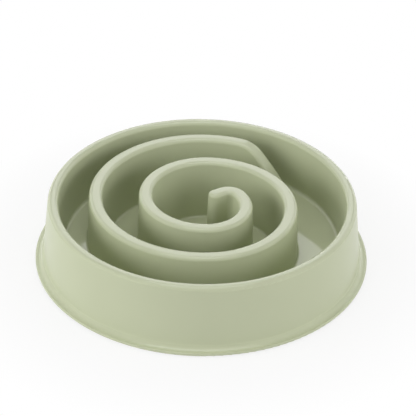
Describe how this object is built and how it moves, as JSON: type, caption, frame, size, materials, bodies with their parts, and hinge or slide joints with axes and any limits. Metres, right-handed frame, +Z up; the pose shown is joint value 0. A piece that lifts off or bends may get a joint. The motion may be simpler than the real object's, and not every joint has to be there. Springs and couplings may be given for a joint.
{
  "type": "slow feeder bowl",
  "caption": "Round plastic slow feeder bowl for pets, with a flared base, rubber feet and a tall spiral ridge on the floor that ends in a hook and makes the pet eat slowly.",
  "frame": {"origin": "centre of the bowl on the ground plane under its feet", "axes": "+Z up, -Y towards the front of the picture, +X to the right"},
  "size_m": [0.22, 0.22, 0.0462],
  "materials": {
    "bowl_plastic": "satin sage green moulded plastic",
    "foot_rubber": "matt grey rubber"
  },
  "bodies": {
    "root": {"bowl_body": "bowl_plastic", "back_right_foot": "foot_rubber", "back_left_foot": "foot_rubber", "front_left_foot": "foot_rubber", "front_right_foot": "foot_rubber"}
  },
  "joints": []
}
